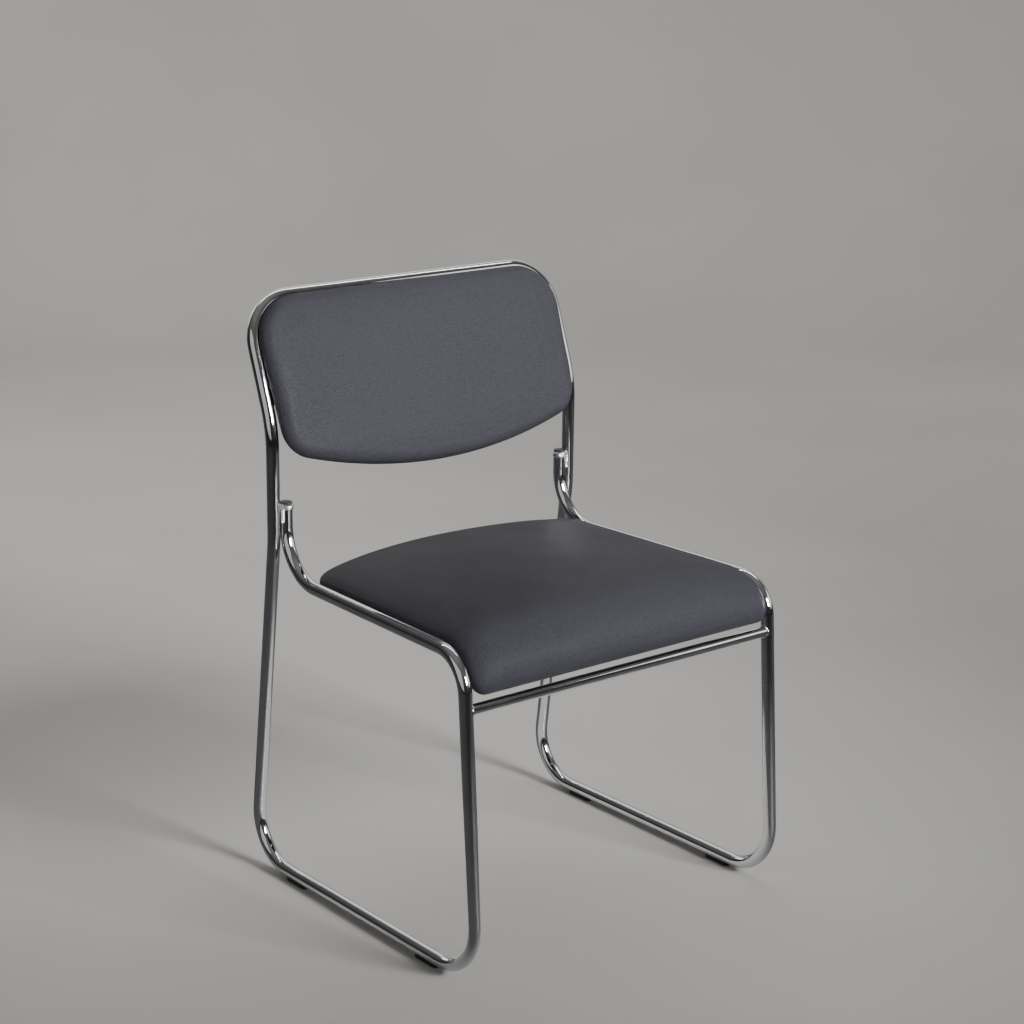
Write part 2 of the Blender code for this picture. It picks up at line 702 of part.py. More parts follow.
def screw_profile(grip):
    """Pan-head screw: its head ends at zero and its shank runs up by the grip."""
    head = SCREW_HEAD_HEIGHT
    profile = [(0, grip), (SCREW_RADIUS, grip), (SCREW_RADIUS, 0), (SCREW_HEAD_RADIUS, 0)]
    for step in range(1, CORNER_SEGMENTS):
        angle = math.pi / 2 * step / CORNER_SEGMENTS
        profile.append((SCREW_HEAD_RADIUS * math.cos(angle), -head * math.sin(angle)))
    return profile + [(0, -head)]


def nut_profile():
    """Tee nut: its flange's top is at zero and its barrel hangs below."""
    bore = SCREW_RADIUS + GAP
    return [(bore, 0), (NUT_FLANGE_RADIUS, 0), (NUT_FLANGE_RADIUS, -NUT_FLANGE_THICKNESS),
            (NUT_BARREL_RADIUS, -NUT_FLANGE_THICKNESS), (NUT_BARREL_RADIUS, -NUT_BARREL_LENGTH),
            (bore, -NUT_BARREL_LENGTH)]


def fasten(prefix, places, head_seat, board_top, through, board, steel):
    """Screws and tee nuts at several places, and their holes in what they pass through.

    A place's Z axis points from the screw's head to the foam. Heights are along that axis.
    """
    grip = board_top - head_seat - NUT_FLANGE_THICKNESS
    recess = NUT_FLANGE_THICKNESS + 2 * GAP
    for label, place in places:
        screw = turned("%s_screw_%s" % (prefix, label), screw_profile(grip), steel)
        screw.matrix_world = place @ Matrix.Translation((0, 0, head_seat - GAP))
        nut = turned("%s_tee_nut_%s" % (prefix, label), nut_profile(), steel, True)
        nut.matrix_world = place @ Matrix.Translation((0, 0, board_top - GAP))
        below = place @ Vector((0, 0, head_seat - SCREW_HEAD_HEIGHT))
        above = place @ Vector((0, 0, board_top + SCREW_HEAD_HEIGHT))
        floor = place @ Vector((0, 0, board_top - recess))
        hole_name = "%s_hole_%s" % (prefix, label)
        hole = cylinder_cutter(hole_name, SCREW_RADIUS + GAP, below, above, SMALL_SEGMENTS)
        for part in through:
            cut(part, hole)
        cut(board, cylinder_cutter(hole_name + "_barrel", NUT_BARREL_RADIUS + GAP, below, above,
                                   SMALL_SEGMENTS))
        cut(board, cylinder_cutter(hole_name + "_recess", NUT_FLANGE_RADIUS + GAP, floor, above,
                                   SMALL_SEGMENTS))


def seat_tabs(steel):
    """Two tabs at the front and a cross strap at the rear, coped to the rails' lower inner sides."""
    rear, front = [corner for corner, _ in side_corners(1)][1:3]
    tabs = []
    for label, side in SIDES:
        mirror = Vector((side, 1, 1))
        outer = rail_x(SEAT_TAB_Y)
        ends = sorted((side * outer, side * (outer - TAB_REACH)))
        outline = rounded_rectangle(*ends, SEAT_TAB_Y - TAB_WIDTH / 2, SEAT_TAB_Y + TAB_WIDTH / 2, TAB_CORNER)
        tab = outline_plate("seat_tab_" + label, outline, TAB_THICKNESS, steel, None, SEAT_TAB_MIDDLE)
        middle = point_at(rear, front, 1, SEAT_TAB_Y) * mirror
        cut(tab, run_cutter("seat_tab_cope_" + label, rear * mirror, front * mirror, middle))
        tabs.append(tab)
    outer = rail_x(STRAP_Y)
    outline = rounded_rectangle(-outer, outer, STRAP_Y - STRAP_WIDTH / 2, STRAP_Y + STRAP_WIDTH / 2,
                                TAB_CORNER)
    strap = outline_plate("seat_strap", outline, TAB_THICKNESS, steel, None, SEAT_TAB_MIDDLE)
    for label, side in SIDES:
        mirror = Vector((side, 1, 1))
        middle = point_at(rear, front, 1, STRAP_Y) * mirror
        cut(strap, run_cutter("seat_strap_cope_" + label, rear * mirror, front * mirror, middle))
    return tabs + [strap]


def seat_pad(leatherette, plywood, foam, felt, chrome, steel):
    """Seat pad: bent board, crowned foam, cover and dust cover, screwed to tabs and strap."""
    form = (SEAT_EDGE_LOW, SEAT_EDGE_RISE, SEAT_EDGE_ROUND, SEAT_CROWN)
    board = seat_sheet("seat_board", FOAM_INSET + BOARD_EDGE_INSET, SEAT_BOARD_BOTTOM,
                       SEAT_BOARD_THICKNESS, plywood)
    pad_foam("seat_foam", SEAT_SHAPE, SEAT_FOAM_FLOOR, form, foam)
    pad_cover("seat_cover", SEAT_SHAPE, SEAT_FOAM_FLOOR, form, SEAT_FOLD_TOP, leatherette)
    dust = seat_sheet("seat_dust_cover", DUST_COVER_INSET, DUST_COVER_TOP - DUST_COVER_THICKNESS,
                      DUST_COVER_THICKNESS, felt)
    tabs = seat_tabs(chrome)
    places = []
    for end, y in (("front", SEAT_TAB_Y), ("rear", STRAP_Y)):
        x = rail_x(y) - TAB_REACH + TAB_HOLE_INSET
        for label, side in SIDES:
            places.append((end + "_" + label, Matrix.Translation((side * x, y, RAIL_HEIGHT))))
    head_seat = SEAT_TAB_TOP - TAB_THICKNESS - RAIL_HEIGHT
    fasten("seat", places, head_seat, SEAT_BOARD_BOTTOM + SEAT_BOARD_THICKNESS, tabs + [dust], board, steel)


def back_pad(leatherette, plywood, foam, chrome, steel):
    """Back pad: flat board, crowned foam, cover and rear panel, screwed to tabs on the uprights."""
    frame = bpy.data.objects.new("back_frame", None)
    chair.objects.link(frame)
    frame.location = (0, RECLINE_Y, RECLINE_Z)
    frame.rotation_euler.x = math.pi / 2 - RECLINE
    bpy.context.view_layer.update()
    form = (BACK_EDGE_LOW, BACK_EDGE_RISE, BACK_EDGE_ROUND, BACK_CROWN)
    board_inset = BACK_OVERLAP + FOAM_INSET + BOARD_EDGE_INSET
    board = outline_plate("back_board", closed_outline(board_inset), BACK_BOARD_THICKNESS, plywood, frame,
                          (BACK_BOARD_REAR + BACK_BOARD_FRONT) / 2)
    pad_foam("back_foam", BACK_SHAPE, BACK_FOAM_FLOOR, form, foam, frame)
    pad_cover("back_cover", BACK_SHAPE, BACK_FOAM_FLOOR, form, BACK_FOLD_FRONT, leatherette, frame)
    panel_inset = BACK_OVERLAP + BACK_PANEL_INSET
    panel = outline_plate("back_panel", closed_outline(panel_inset), BACK_PANEL_THICKNESS, leatherette, frame,
                          BACK_PANEL_REAR + BACK_PANEL_THICKNESS / 2)
    soften = panel.modifiers.new("soft_edge", "BEVEL")
    soften.width = BACK_PANEL_BEVEL
    soften.segments = 2
    soften.limit_method = "ANGLE"
    soften.angle_limit = math.radians(60)
    corners = [corner for corner, _ in side_corners(1)]
    low_s = tangent_length(*corners[5:8], RECLINE_BEND) + TAB_WIDTH / 2
    high_s = BACK_LENGTH - TOP_BEND - TAB_WIDTH / 2
    tabs = []
    places = []
    hole_x = HALF_WIDTH - TAB_REACH + TAB_HOLE_INSET
    for height, s in (("lower", low_s), ("upper", high_s)):
        for label, side in SIDES:
            ends = sorted((side * (HALF_WIDTH + TAB_THICKNESS), side * (HALF_WIDTH - TAB_REACH)))
            outline = rounded_rectangle(*ends, s - TAB_WIDTH / 2, s + TAB_WIDTH / 2, TAB_CORNER)
            tabs.append(outline_plate("back_tab_%s_%s" % (height, label), outline, TAB_THICKNESS, chrome,
                                      frame, BACK_TAB_MIDDLE))
            place = frame.matrix_world @ Matrix.Translation((side * hole_x, s, 0))
            places.append((height + "_" + label, place))
    fasten("back", places, BACK_TAB_FRONT - TAB_THICKNESS, BACK_BOARD_FRONT, tabs + [panel], board, steel)


for old in list(bpy.data.objects):
    bpy.data.objects.remove(old)
chair = new_collection("sled_chair")
cutters = new_collection("cutters")

CHROME = make_material("bright_chrome", (0.80, 0.80, 0.82), 0.06, 1.0)
STEEL = make_material("zinc_steel", (0.55, 0.56, 0.58), 0.35, 1.0)
BLACK_PLASTIC = make_material("black_plastic", (0.020, 0.020, 0.022), 0.45)
LEATHERETTE = make_material("charcoal_leatherette", (0.045, 0.046, 0.053), 0.48)
PLYWOOD = make_material("plywood", (0.55, 0.40, 0.25), 0.65)
FOAM = make_material("foam", (0.78, 0.72, 0.50), 0.90)
FELT = make_material("black_felt", (0.025, 0.025, 0.027), 0.95)

frame_tube(CHROME)
front_cross_tube(CHROME)
for label_name, side_sign in SIDES:
    stub_plug(label_name, side_sign, BLACK_PLASTIC)
    weld_beads(label_name, side_sign, CHROME)
glides(BLACK_PLASTIC)
seat_pad(LEATHERETTE, PLYWOOD, FOAM, FELT, CHROME, STEEL)
back_pad(LEATHERETTE, PLYWOOD, FOAM, CHROME, STEEL)
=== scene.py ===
"""Looks of a sled-base visitor chair: one bent chrome tube, a padded seat and a padded back.

The sections follow the chair as it is put together: the studio it stands in, the bent frame, what is welded
and pressed on to it, the seat with its fixings, then the back with its own. Lengths are in metres, the front
faces -Y and +X is the sitter's left.
"""

import bmesh
import bpy
import numpy as np
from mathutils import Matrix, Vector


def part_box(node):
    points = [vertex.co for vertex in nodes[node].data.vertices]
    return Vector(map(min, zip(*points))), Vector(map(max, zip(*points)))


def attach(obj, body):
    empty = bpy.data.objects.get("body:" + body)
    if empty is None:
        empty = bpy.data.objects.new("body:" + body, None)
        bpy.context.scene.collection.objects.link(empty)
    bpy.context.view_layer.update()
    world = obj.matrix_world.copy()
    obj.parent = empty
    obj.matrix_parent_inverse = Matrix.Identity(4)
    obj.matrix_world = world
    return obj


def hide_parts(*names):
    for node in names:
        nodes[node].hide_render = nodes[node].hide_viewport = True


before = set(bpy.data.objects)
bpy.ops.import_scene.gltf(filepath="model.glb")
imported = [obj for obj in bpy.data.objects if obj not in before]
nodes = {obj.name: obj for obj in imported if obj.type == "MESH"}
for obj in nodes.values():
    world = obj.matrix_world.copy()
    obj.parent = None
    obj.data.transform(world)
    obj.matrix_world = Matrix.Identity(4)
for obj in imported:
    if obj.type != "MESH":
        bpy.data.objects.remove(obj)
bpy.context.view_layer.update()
scene = bpy.context.scene

# Camera
# A long lens in front of the chair, on the sitter's right and higher than the back, aimed at the chair's
# middle.
azimuth = np.radians(-38.3)
elevation = np.radians(15.27)
distance = 2.9619
aim = np.array([0.00287, 0.0031, 0.5017])
level = np.cos(elevation)
away = np.array([np.sin(azimuth) * level, -np.cos(azimuth) * level, np.sin(elevation)])
camera_data = bpy.data.cameras.new("camera")
camera_data.lens = 80.72
camera_data.sensor_width = 36.0
camera = bpy.data.objects.new("camera", camera_data)
camera.location = aim + distance * away
camera.rotation_euler = (np.pi / 2 - elevation, 0, azimuth)
scene.collection.objects.link(camera)
scene.camera = camera


# Studio
# A pale painted sheet sweeps from the floor up into a wall. A soft box stands in front on the sitter's left,
# weak ones overhead and behind, one lights the wall, and a lit card stands on each side. In what the chair
# mirrors, the sheet carries painted light and shade: it is painted bright close to the chair and high on the
# wall, and painted dark on the far floor.
def grid_faces(rows, columns, closed=False):
    """Quads of a grid of points: each joins a point, the next one in its row and the two in the row above. In
    a closed grid each row's last point is also joined to its first."""
    row = np.arange(rows - 1)[:, None] * columns
    column = np.arange(columns if closed else columns - 1)[None, :]
    follow = (column + 1) % columns
    quads = np.stack([row + column, row + follow, row + columns + follow, row + columns + column], -1)
    return quads.reshape(-1, 4)


def add_object(name, points, faces, sharp=40):
    """An object at the origin with a smooth mesh; edges that turn by more than the sharp angle stay crisp."""
    mesh = bpy.data.meshes.new(name)
    mesh.from_pydata(points.reshape(-1, 3).tolist(), [], faces)
    mesh.shade_smooth()
    mesh.set_sharp_from_angle(angle=np.radians(sharp))
    made = bpy.data.objects.new(name, mesh)
    scene.collection.objects.link(made)
    return made


def add_node(tree, kind, sockets=None, **properties):
    """A shader node with its properties set; a socket takes either a value or a link from another socket."""
    node = tree.nodes.new("ShaderNode" + kind)
    for name, value in properties.items():
        setattr(node, name, value)
    for name, value in (sockets or {}).items():
        if isinstance(value, bpy.types.NodeSocket):
            tree.links.new(value, node.inputs[name])
        else:
            node.inputs[name].default_value = value
    return node


def add_noise(tree, place, scale, detail, **sockets):
    """A noise's value over a place."""
    sockets = {"Vector": place, "Scale": scale, "Detail": detail, **sockets}
    return add_node(tree, "TexNoise", sockets).outputs["Fac"]


def add_ramp(tree, mask, stops):
    """A colour ramp over a mask: stops are pairs of a place and a grey value or a colour."""
    ramp = add_node(tree, "ValToRGB", {"Fac": mask})
    elements = ramp.color_ramp.elements
    for _ in stops[2:]:
        elements.new(1.0)
    for element, (place, colour) in zip(elements, stops):
        element.position = place
        element.color = (*np.broadcast_to(colour, 3), 1.0)
    return ramp.outputs["Color"]


def add_range(tree, value, low, high, start=0.0, end=1.0, kind="LINEAR"):
    """A value's run from low to high, brought to the run from start to end and held beyond it."""
    sockets = {"Value": value, "From Min": low, "From Max": high, "To Min": start, "To Max": end}
    return add_node(tree, "MapRange", sockets, interpolation_type=kind).outputs["Result"]


def add_math(tree, operation, *values):
    """The result of one operation over values and sockets."""
    return add_node(tree, "Math", dict(enumerate(values)), operation=operation).outputs["Value"]


def mix_colours(tree, share, first, second, blend="MIX"):
    """The first of two colours, turned into the second by a share. A Mix node takes colours on its inputs 6
    and 7 and gives one on its output 2."""
    sockets = {"Factor": share, 6: first, 7: second}
    return add_node(tree, "Mix", sockets, data_type="RGBA", blend_type=blend).outputs[2]


def new_material(name, **sockets):
    """A material with its Principled shader, whose constant sockets are set here. Their names have underscores
    for spaces."""
    material = bpy.data.materials.new(name)
    material.use_nodes = True
    shader = material.node_tree.nodes["Principled BSDF"]
    for socket, value in sockets.items():
        shader.inputs[socket.replace("_", " ")].default_value = value
    return material, material.node_tree, shader


def feed(tree, node, **sources):
    """Links what changes over the surface to a node's sockets, whose names have underscores for spaces."""
    for socket, source in sources.items():
        tree.links.new(source, node.inputs[socket.replace("_", " ")])


sweep_start = 3.6
sweep_radius = 1.4
sweep = np.linspace(0, np.pi / 2, 25)[1:]
floor_y = np.linspace(-7.0, sweep_start, 24)
wall_z = np.linspace(1.8, 7.0, 12)
wall_y = np.full(len(wall_z), sweep_start + sweep_radius)
sheet_y = np.concatenate([floor_y, sweep_start + sweep_radius * np.sin(sweep), wall_y])
sheet_z = np.concatenate([0 * floor_y, sweep_radius * (1 - np.cos(sweep)), wall_z])
sheet_x = np.linspace(-8.0, 8.0, 17)
turn = np.array([[np.cos(azimuth), -np.sin(azimuth), 0], [np.sin(azimuth), np.cos(azimuth), 0], [0, 0, 1]])
sheet = np.stack(np.broadcast_arrays(sheet_x[None, :], sheet_y[:, None], sheet_z[:, None]), -1)
studio = add_object("studio_sheet", sheet @ turn.T, grid_faces(*sheet.shape[:2]).tolist(), 60)
paint, paint_tree, paint_shader = new_material("pale_paint", Roughness=0.7)
paint_place = add_node(paint_tree, "TexCoord").outputs["Object"]
paint_cloud = add_noise(paint_tree, paint_place, 1.7, 5.0)
paint_colour = add_ramp(paint_tree, paint_cloud, [(0.3, (0.405, 0.398, 0.378)), (0.7, (0.440, 0.433, 0.412))])
paint_reach = add_node(paint_tree, "VectorMath", {0: paint_place}, operation="LENGTH").outputs["Value"]
paint_height = add_node(paint_tree, "SeparateXYZ", {0: paint_place}).outputs["Z"]
paint_far = add_range(paint_tree, paint_reach, 0.22, 0.42, kind="SMOOTHSTEP")
paint_floor = add_range(paint_tree, paint_height, 0.03, 0.4, 1.0, 0.0, kind="SMOOTHSTEP")
paint_high = add_range(paint_tree, paint_height, 1.7, 2.4, kind="SMOOTHSTEP")
paint_dim = add_math(paint_tree, "MULTIPLY", paint_far, paint_floor)
paint_close = add_math(paint_tree, "SUBTRACT", paint_floor, paint_dim)
paint_lit = add_math(paint_tree, "MULTIPLY_ADD", paint_close, 0.3, paint_high)
# Painted reflection: only glossy rays see the sheet painted dark on the far floor and painted bright close to
# the chair and high on the wall.
mirrored = add_node(paint_tree, "LightPath").outputs["Is Glossy Ray"]
mirrored_dim = add_math(paint_tree, "MULTIPLY", mirrored, paint_dim)
mirrored_lit = add_math(paint_tree, "MULTIPLY", mirrored, paint_lit)
paint_shade = mix_colours(paint_tree, mirrored_dim, paint_colour, (0.075, 0.074, 0.078, 1.0))
paint_with_painted_reflection = mix_colours(paint_tree, mirrored_lit, paint_shade, (0.92, 0.91, 0.89, 1.0))
feed(paint_tree, paint_shader, Base_Color=paint_with_painted_reflection)
studio.data.materials.append(paint)


def add_light(name, place, target, width, height, power, spread=np.pi):
    """A soft box: a rectangular area light turned from its place towards a target, its spread narrowed by a
    grid."""
    data = bpy.data.lights.new(name, "AREA")
    data.shape = "RECTANGLE"
    data.size = width
    data.size_y = height
    data.energy = power
    data.spread = spread
    light = bpy.data.objects.new(name, data)
    way = np.array(target) - np.array(place)
    light.location = place
    flat = np.hypot(way[0], way[1])
    light.rotation_euler = (np.arctan2(flat, -way[2]), 0, np.arctan2(-way[0], way[1]))
    scene.collection.objects.link(light)


add_light("key_box", (0.62, -2.90, 1.60), (0.05, 0.2, 0.85), 0.9, 0.9, 28, 0.9)
add_light("top_box", (0.0, 0.2, 2.9), (0.0, 0.2, 0.4), 3.6, 3.0, 1)
add_light("left_card", (2.70, -1.60, 1.25), (0.0, 0.0, 0.60), 2.4, 1.3, 13.5)
add_light("right_card", (-2.75, -0.80, 1.45), (0.0, 0.0, 0.60), 3.2, 2.4, 12)
add_light("rear_box", (-0.13, 2.9, 1.30), (0.0, 0.2, 0.60), 0.9, 1.0, 5.8)
add_light("wall_box", turn @ np.array([0.0, 1.8, 4.4]), turn @ np.array([0.0, 5.0, 2.0]), 5.0, 1.6, 200)
world = bpy.data.worlds.new("room")
world.use_nodes = True
room = world.node_tree
room_way = add_node(room, "SeparateXYZ", {0: add_node(room, "TexCoord").outputs["Generated"]}).outputs["Z"]
room_light = add_ramp(room, add_range(room, room_way, -0.2, 1.0), [(0.0, 0.05), (0.35, 0.06), (1.0, 0.30)])
room_camera = add_node(room, "LightPath").outputs["Is Camera Ray"]
background = room.nodes["Background"]
background.inputs["Strength"].default_value = 0.55
feed(room, background, Color=mix_colours(room, room_camera, room_light, (0.60, 0.59, 0.57, 1.0)))
scene.world = world

# Frame tube
# One steel tube, bent cold from the right stub round to the left one and chrome plated. Each side runs from
# the stub along the rail, down the front leg, back along the floor, up the rear upright and into the top bow.
tube_radius = 0.0085
tube_sides = 48
bend_steps = 36
half_width = 0.245
rail_z = 0.416
skid_z = 0.011
stub_top = np.array([0.22796, 0.18019, 0.515])
stub_foot = np.array([0.22796, 0.18239, rail_z])
rail_front = np.array([half_width, -0.2205, rail_z])
front_foot = np.array([half_width, -0.2434, skid_z])
rear_foot = np.array([half_width, 0.2494, skid_z])
upright_knee = np.array([half_width, 0.1843, 0.465])
recline_knee = np.array([half_width, 0.181, 0.6137])
top_corner = np.array([half_width, 0.2386, 0.774])
top_middle = np.array([0.0, 0.2386, 0.774])
front_bend = 0.050
top_bend = 0.064
frame_corners = [stub_top, stub_foot, rail_front, front_foot, rear_foot, upright_knee, recline_knee,
                 top_corner, top_middle]
frame_bends = [0.069, front_bend, 0.070, 0.065, 0.150, 0.170, top_bend]
across = np.array([1.0, 0, 0])


def unit(vector):
    """Vectors along the last axis, brought to length one."""
    return vector / np.maximum(np.linalg.norm(vector, axis=-1, keepdims=True), 1e-12)


def rounded_path(corners, radii, steps):
    """Points and directions along straight runs joined by arcs. An arc's centre lies on the corner's
    bisector, at the radius over the sine of half the corner's angle, and the arc turns the heading into the
    next run."""
    points = [corners[0][None]]
    headings = [unit(corners[1] - corners[0])[None]]
    for before, corner, after, radius in zip(corners, corners[1:], corners[2:], radii):
        behind = unit(before - corner)
        ahead = unit(after - corner)
        half = np.arccos(behind @ ahead) / 2
        centre = corner + unit(behind + ahead) * radius / np.sin(half)
        spoke = corner + behind * radius / np.tan(half) - centre
        angle = np.linspace(0, np.pi - 2 * half, steps)[:, None]
        points.append(centre + np.cos(angle) * spoke - np.sin(angle) * radius * behind)
        headings.append(-np.cos(angle) * behind - np.sin(angle) * spoke / radius)
    points.append(corners[-1][None])
    headings.append(unit(corners[-1] - corners[-2])[None])
    return np.concatenate(points), np.concatenate(headings)


def ring_points(centres, first, second, radius, sides):
    """Rings about centres: each point is the centre plus the radius times the cosine of its angle along the
    first direction and the sine along the second."""
    angle = np.linspace(0, 2 * np.pi, sides, endpoint=False)[None, :, None]
    reach = np.asarray(radius)[..., None] if np.ndim(radius) else radius
    return centres[:, None] + reach * (np.cos(angle) * first[:, None] + np.sin(angle) * second[:, None])


def ring_solid(rings):
    """Points and faces of a solid through rings: bands of quads between them and a cap on each end."""
    rows, sides = rings.shape[:2]
    caps = [list(range(sides))[::-1], list(range((rows - 1) * sides, rows * sides))]
    return rings.reshape(-1, 3), grid_faces(rows, sides, closed=True).tolist() + caps


def face_outwards(mesh):
    """Turns a closed mesh's faces so that they point outwards."""
    turned = bmesh.new()
    turned.from_mesh(mesh)
    bmesh.ops.recalc_face_normals(turned, faces=turned.faces)
    turned.to_mesh(mesh)
    turned.free()


def add_piece(name, shapes, material, replaced, sharp=40):
    """A closed piece from one or more solids, faced outwards, that rides on the chair and stands for CAD
    nodes."""
    starts = np.cumsum([0] + [len(points) for points, _ in shapes])
    faces = [[int(start) + index for index in face]
             for (_, own), start in zip(shapes, starts) for face in own]
    piece = add_object(name, np.concatenate([points for points, _ in shapes]), faces, sharp)
    face_outwards(piece.data)
    piece.data.materials.append(material)
    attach(piece, "root")
    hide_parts(*replaced)


def effect_group(name, inputs, outputs):
    """An empty shader node group with named float inputs and their defaults, and outputs with their kinds."""
    group = bpy.data.node_groups.new(name, "ShaderNodeTree")
    for socket, value in inputs.items():
        made = group.interface.new_socket(socket, in_out="INPUT", socket_type="NodeSocketFloat")
        made.default_value = value
    for socket, kind in outputs.items():
        group.interface.new_socket(socket, in_out="OUTPUT", socket_type="NodeSocket" + kind)
    return group, group.nodes.new("NodeGroupInput").outputs, group.nodes.new("NodeGroupOutput")


polish, polish_in, polish_out = effect_group("polish_marks", {"Waviness": 0.05},
                                             {"Smear": "Float", "Normal": "Vector"})
polish_place = add_node(polish, "TexCoord").outputs["Object"]
polish_smear = add_noise(polish, polish_place, 21.0, 4.0, Roughness=0.6)
polish_wave = add_noise(polish, polish_place, 60.0, 1.0)
polish_bump = add_node(polish, "Bump", {"Strength": polish_in["Waviness"], "Distance": 0.002,
                                        "Height": polish_wave})
feed(polish, polish_out, Smear=polish_smear, Normal=polish_bump.outputs["Normal"])

chrome, chrome_tree, chrome_shader = new_material("chrome_plate", Metallic=1.0)
chrome_marks = add_node(chrome_tree, "Group", {"Waviness": 0.02}, node_tree=polish).outputs
chrome_colour = add_ramp(chrome_tree, chrome_marks["Smear"],
                         [(0.3, (0.70, 0.70, 0.72)), (0.7, (0.78, 0.78, 0.79))])
chrome_rough = add_range(chrome_tree, chrome_marks["Smear"], 0.3, 0.75, 0.035, 0.10)
feed(chrome_tree, chrome_shader, Base_Color=chrome_colour, Roughness=chrome_rough,
     Normal=chrome_marks["Normal"])

frame_line, frame_heading = rounded_path(frame_corners, frame_bends, bend_steps)
side_first = unit(across - (frame_heading @ across)[:, None] * frame_heading)
side_second = np.cross(frame_heading, side_first)
bow_normal = unit(np.cross(unit(top_corner - recline_knee), across))
bow_second = unit(bow_normal - (frame_heading @ bow_normal)[:, None] * frame_heading)
bow_first = np.cross(bow_second, frame_heading)
in_bow = (np.arange(len(frame_line)) > len(frame_line) - bend_steps - 2)[:, None]
tube_half = ring_points(frame_line, np.where(in_bow, bow_first, side_first),
                        np.where(in_bow, bow_second, side_second), tube_radius, tube_sides)
tube_rings = np.concatenate([tube_half, tube_half[-2::-1] * np.array([-1.0, 1.0, 1.0])])
add_piece("chrome_frame", [ring_solid(tube_rings)], chrome, ["frame_tube"])

# Stub welds
# Where each stub stands against its upright, a weld bead runs down the groove in front and another behind,
# and a lumpy ring of weld goes round the stub's tip. All of it was plated with the frame, so it shines but is
# uneven.
bead_radius = 0.0023
bead_low = 0.489
bead_high = 0.510
bead_y = 0.0015
groove_depth = 0.0066
tip_radius = 0.0072
tip_swell = 0.0027
tip_half = 0.0041
tip_drop = 0.0042
lump_height = 0.00034
stub_spacing = half_width - stub_top[0]
stub_way = unit(stub_top - stub_foot)
both_sides = (("left", np.array([1.0, 1.0, 1.0])), ("right", np.array([-1.0, 1.0, 1.0])))


def stub_rings(centres, radius, sides):
    """Rings about centres on the stub, square to its axis."""
    return ring_points(centres, across[None], np.cross(stub_way, across)[None], radius, sides)


bead_share = np.linspace(0, 1, 70)
bead_z = bead_low + (bead_high - bead_low) * bead_share
bead_along = (bead_z - stub_foot[2]) / (stub_top[2] - stub_foot[2])
bead_line = stub_foot + bead_along[:, None] * (stub_top - stub_foot)
bead_ends = np.sqrt(np.clip(1 - (2 * bead_share - 1) ** 6, 0.03, 1))
tip = np.linspace(-1, 1, 30)[:, None]
tip_angle = np.linspace(0, 2 * np.pi, tube_sides, endpoint=False)[None, :]
tip_centres = stub_top + (tip_half * tip - tip_drop) * stub_way
weld_shapes = []
for _, mirror in both_sides:
    for face in (-1, 1):
        line = bead_line + np.array([stub_spacing / 2, bead_y + face * groove_depth, 0])
        ripple = (1 + 0.10 * np.sin(2 * np.pi * bead_share * 13 + face)
                  + 0.06 * np.sin(2 * np.pi * bead_share * 5.3))
        bead = stub_rings(line, (bead_radius * ripple * bead_ends)[:, None], 16)
        weld_shapes.append(ring_solid(bead * mirror))
    lumps = lump_height * (np.sin(5 * tip_angle + 4 * tip + mirror[0]) + np.sin(9 * tip_angle - 7 * tip)
                           + np.sin(3 * tip_angle + 11 * tip))
    collar = tip_radius + (tip_swell + lumps) * np.sqrt(np.clip(1 - tip ** 4, 0, 1))
    weld_shapes.append(ring_solid(stub_rings(tip_centres, collar, tube_sides) * mirror))
weld, weld_tree, weld_shader = new_material("plated_weld", Metallic=1.0)
weld_marks = add_node(weld_tree, "Group", {"Waviness": 0.5}, node_tree=polish).outputs
weld_colour = add_ramp(weld_tree, weld_marks["Smear"],
                       [(0.35, (0.62, 0.62, 0.63)), (0.65, (0.82, 0.82, 0.83))])
weld_rough = add_range(weld_tree, weld_marks["Smear"], 0.0, 1.0, 0.12, 0.34)
feed(weld_tree, weld_shader, Base_Color=weld_colour, Roughness=weld_rough, Normal=weld_marks["Normal"])
add_piece("stub_welds", weld_shapes, weld,
          ["weld_bead_front_left", "weld_bead_rear_left", "weld_bead_front_right", "weld_bead_rear_right"])

# Stub plugs
# A black plastic plug pressed into each open tube end: a flat dome with a small flange over a plain stem.
plug_rim = 0.0083
plug_stem = 0.0067
plug_tip = 0.0004
plug_angle = np.linspace(0, np.pi / 2, 14)[1:]
plug_dome = plug_rim * np.sin(plug_angle) ** 0.6
plug_radius = np.concatenate([[plug_tip], plug_dome, [plug_rim, plug_stem, plug_stem - 0.0001, plug_tip]])
plug_rise = 0.0008 + 0.0020 * np.cos(plug_angle) ** 0.7
plug_height = np.concatenate([[0.0028], plug_rise, [0.0003, 0.0003, -0.011, -0.012]])
plug_rings = stub_rings(stub_top + plug_height[:, None] * stub_way, plug_radius[:, None], 40)

moulding, moulding_in, moulding_out = effect_group("moulded_texture", {"Depth": 0.2},
                                                   {"Cloud": "Float", "Normal": "Vector"})
moulding_place = add_node(moulding, "TexCoord").outputs["Object"]
moulding_cloud = add_noise(moulding, moulding_place, 140.0, 3.0)
moulding_spark = add_noise(moulding, moulding_place, 1900.0, 2.0)
moulding_bump = add_node(moulding, "Bump", {"Strength": moulding_in["Depth"], "Distance": 0.0003,
                                            "Height": moulding_spark})
feed(moulding, moulding_out, Cloud=moulding_cloud, Normal=moulding_bump.outputs["Normal"])

plastic, plastic_tree, plastic_shader = new_material("black_plastic", Specular_IOR_Level=0.4)
plastic_skin = add_node(plastic_tree, "Group", node_tree=moulding).outputs
plastic_colour = add_ramp(plastic_tree, plastic_skin["Cloud"], [(0.3, 0.010), (0.7, 0.019)])
plastic_rough = add_range(plastic_tree, plastic_skin["Cloud"], 0.0, 1.0, 0.32, 0.55)
feed(plastic_tree, plastic_shader, Base_Color=plastic_colour, Roughness=plastic_rough,
     Normal=plastic_skin["Normal"])
for label, mirror in both_sides:
    add_piece("plug_" + label, [ring_solid(plug_rings * mirror)], plastic,
              ["stub_plug_" + label])

